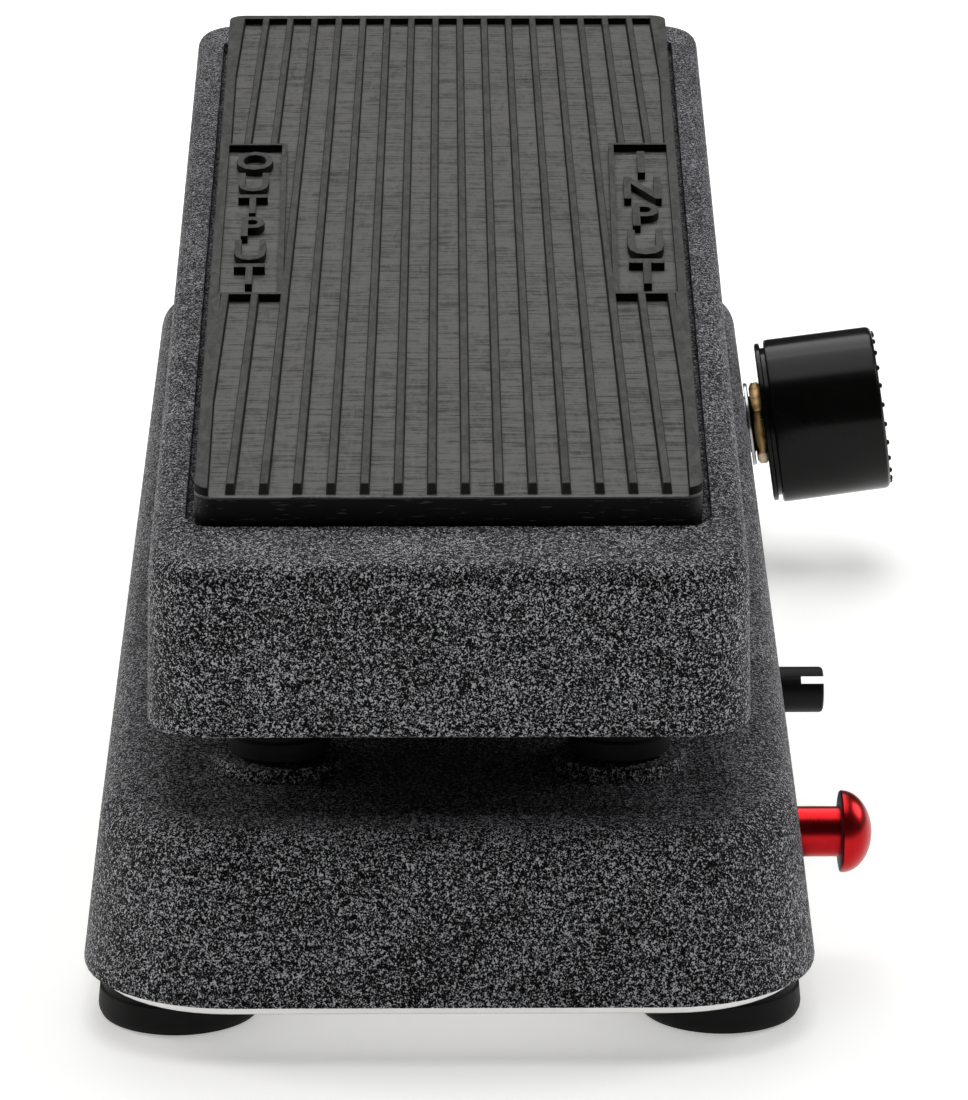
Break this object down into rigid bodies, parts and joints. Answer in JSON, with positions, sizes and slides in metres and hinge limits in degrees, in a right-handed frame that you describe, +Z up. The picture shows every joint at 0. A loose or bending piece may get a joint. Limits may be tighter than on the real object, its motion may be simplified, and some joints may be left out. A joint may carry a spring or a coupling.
{
  "type": "guitar effects pedal",
  "caption": "Rocker pedal: black textured die-cast base and hinged treadle with ribbed rubber mat, rack-driven control, knob, slotted shaft and red push button on the right wall.",
  "frame": {"origin": "centre of the whole pedal's bounding box at floor level, under the feet", "axes": "+Y from heel to toe, +X towards the wall with the controls, +Z up"},
  "size_m": [0.1209, 0.254, 0.0843],
  "materials": {
    "casting_coat": "die casting under a black fine-wrinkle powder coat, satin",
    "mat_rubber": "moulded black rubber, ribbed, scuffed",
    "foot_rubber": "moulded black rubber",
    "plate_steel": "zinc-plated sheet, bright edge",
    "plated_steel": "nickel-plated steel",
    "pot_can": "pressed steel can",
    "brass_nut": "dull brass",
    "black_plastic": "moulded black plastic",
    "knob_plastic": "glossy black moulding",
    "red_anodised": "bright red anodised",
    "nylon": "natural nylon",
    "circuit_board": "green solder mask",
    "inductor_case": "red moulded case",
    "capacitor_sleeve": "dark blue sleeve",
    "battery_case": "plain printed steel case",
    "foam": "soft foam strip",
    "red_lead": "red insulated wire",
    "black_lead": "black insulated wire"
  },
  "bodies": {
    "base": {"base_housing": "casting_coat", "bottom_plate": "plate_steel", "foot_heel_left": "foot_rubber", "foot_heel_right": "foot_rubber", "foot_toe_left": "foot_rubber", "foot_toe_right": "foot_rubber", "foot_screw_heel_left": "plated_steel", "foot_screw_heel_right": "plated_steel", "foot_screw_toe_left": "plated_steel", "foot_screw_toe_right": "plated_steel", "pivot_bush_left": "nylon", "pivot_bush_right": "nylon", "heel_bumper_left": "foot_rubber", "heel_bumper_right": "foot_rubber", "pot_bracket": "plated_steel", "wah_pot_body": "pot_can", "wah_pot_nut": "plated_steel", "bracket_screw": "plated_steel", "rack_guide": "nylon", "footswitch_body": "black_plastic", "footswitch_washer": "plated_steel", "footswitch_nut": "plated_steel", "range_switch_body": "black_plastic", "range_washer": "plated_steel", "range_nut": "brass_nut", "level_pot_body": "pot_can", "boost_switch_body": "black_plastic", "input_jack": "black_plastic", "output_jack": "black_plastic", "dc_inlet": "black_plastic", "jack_board": "circuit_board", "control_board": "circuit_board", "board_screw_1": "plated_steel", "board_screw_2": "plated_steel", "board_screw_3": "plated_steel", "inductor": "inductor_case", "capacitor_large": "capacitor_sleeve", "capacitor_small": "capacitor_sleeve", "transistor_first": "black_plastic", "transistor_second": "black_plastic", "battery": "battery_case", "battery_snap": "black_plastic", "battery_pad": "foam", "battery_lead_red": "red_lead", "battery_lead_black": "black_lead", "board_lead": "black_lead"},
    "treadle_unit": {"treadle": "casting_coat", "tread_mat": "mat_rubber", "pivot_pin": "plated_steel", "pivot_clip_left": "plated_steel", "pivot_clip_right": "plated_steel", "toe_pad": "foot_rubber", "rack_pin": "plated_steel"},
    "rack_bar": {"rack": "nylon"},
    "pinion_unit": {"pot_pinion": "nylon"},
    "range_unit": {"range_knob": "knob_plastic", "range_shaft": "plated_steel"},
    "level_unit": {"level_shaft": "black_plastic"},
    "boost_unit": {"boost_button": "red_anodised"},
    "footswitch_unit": {"footswitch_plunger": "plated_steel"}
  },
  "joints": [
    {"name": "treadle_hinge", "type": "hinge", "parent": "base", "child": "treadle_unit", "pos_m": [-0.01008, 0, 0.054], "axis": [-1, 0, 0], "range_deg": [0, 11]},
    {"name": "rack_slide", "type": "slide", "parent": "base", "child": "rack_bar", "axis": [0, 0, -1], "range_m": [0, 0.0074]},
    {"name": "pinion_spin", "type": "hinge", "parent": "base", "child": "pinion_unit", "pos_m": [-0.01008, 0.04415, 0.0195], "axis": [1, 0, 0], "range_deg": [0, 93]},
    {"name": "range_turn", "type": "hinge", "parent": "base", "child": "range_unit", "pos_m": [0.03734, 0.0888, 0.022], "axis": [0.9892, -0.035, 0.1426], "range_deg": [-75, 75]},
    {"name": "level_turn", "type": "hinge", "parent": "base", "child": "level_unit", "pos_m": [0.03355, -0.0385, 0.017], "axis": [1, 0, 0], "range_deg": [-150, 150]},
    {"name": "boost_press", "type": "slide", "parent": "base", "child": "boost_unit", "axis": [-1, 0, 0], "range_m": [0, 0.003], "stiffness_N_per_m": 500, "springref_m": -0.003},
    {"name": "footswitch_press", "type": "slide", "parent": "base", "child": "footswitch_unit", "axis": [0, 0, -1], "range_m": [0, 0.0025], "stiffness_N_per_m": 1200, "springref_m": -0.003}
  ],
  "couplings": [
    {"joint": "rack_slide", "follows": "treadle_hinge", "m_per_rad": 0.0378},
    {"joint": "pinion_spin", "follows": "treadle_hinge", "ratio": 8.4}
  ]
}
